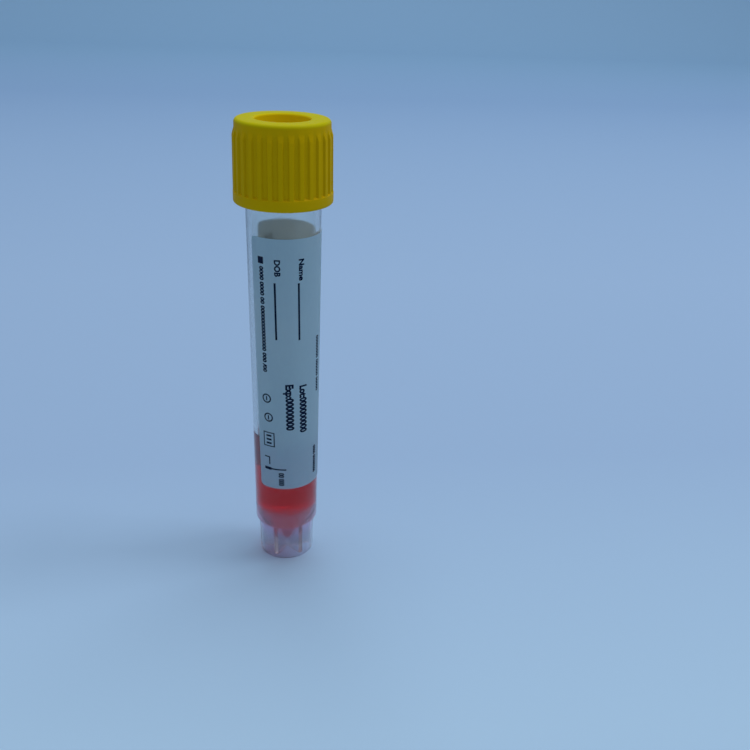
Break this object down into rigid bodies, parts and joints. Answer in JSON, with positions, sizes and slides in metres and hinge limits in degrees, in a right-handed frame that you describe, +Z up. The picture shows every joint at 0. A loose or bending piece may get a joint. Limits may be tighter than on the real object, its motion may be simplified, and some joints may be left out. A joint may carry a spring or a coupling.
{
  "type": "specimen swab tube",
  "caption": "Self-standing clear specimen tube with a ribbed screw cap, a sealing ring, a wrap label and red transport medium in its conical bottom.",
  "frame": {"origin": "middle of the foot, on the surface that the tube stands on", "axes": "+Z up along the tube to its cap, -Y out of the front of the label"},
  "size_m": [0.0206, 0.0206, 0.1033],
  "materials": {
    "clear_plastic": "gloss",
    "yellow_plastic": "satin",
    "silicone": "matte",
    "label_paper": "satin",
    "red_medium": "polished"
  },
  "bodies": {
    "tube_body": {"tube": "clear_plastic", "label": "label_paper", "medium": "red_medium"},
    "ring_body": {"seal_ring": "silicone"},
    "cap_body": {"cap": "yellow_plastic"}
  },
  "joints": [
    {"name": "cap_lift", "type": "slide", "parent": "tube_body", "child": "ring_body", "axis": [0, 0, 1], "range_m": [0, 0.018]},
    {"name": "cap_turn", "type": "hinge", "parent": "ring_body", "child": "cap_body", "pos_m": [0, 0, 0.095], "axis": [0, 0, 1], "range_deg": [0, 1080]}
  ],
  "couplings": [
    {"joint": "cap_turn", "follows": "cap_lift", "rad_per_m": 1047.2}
  ]
}
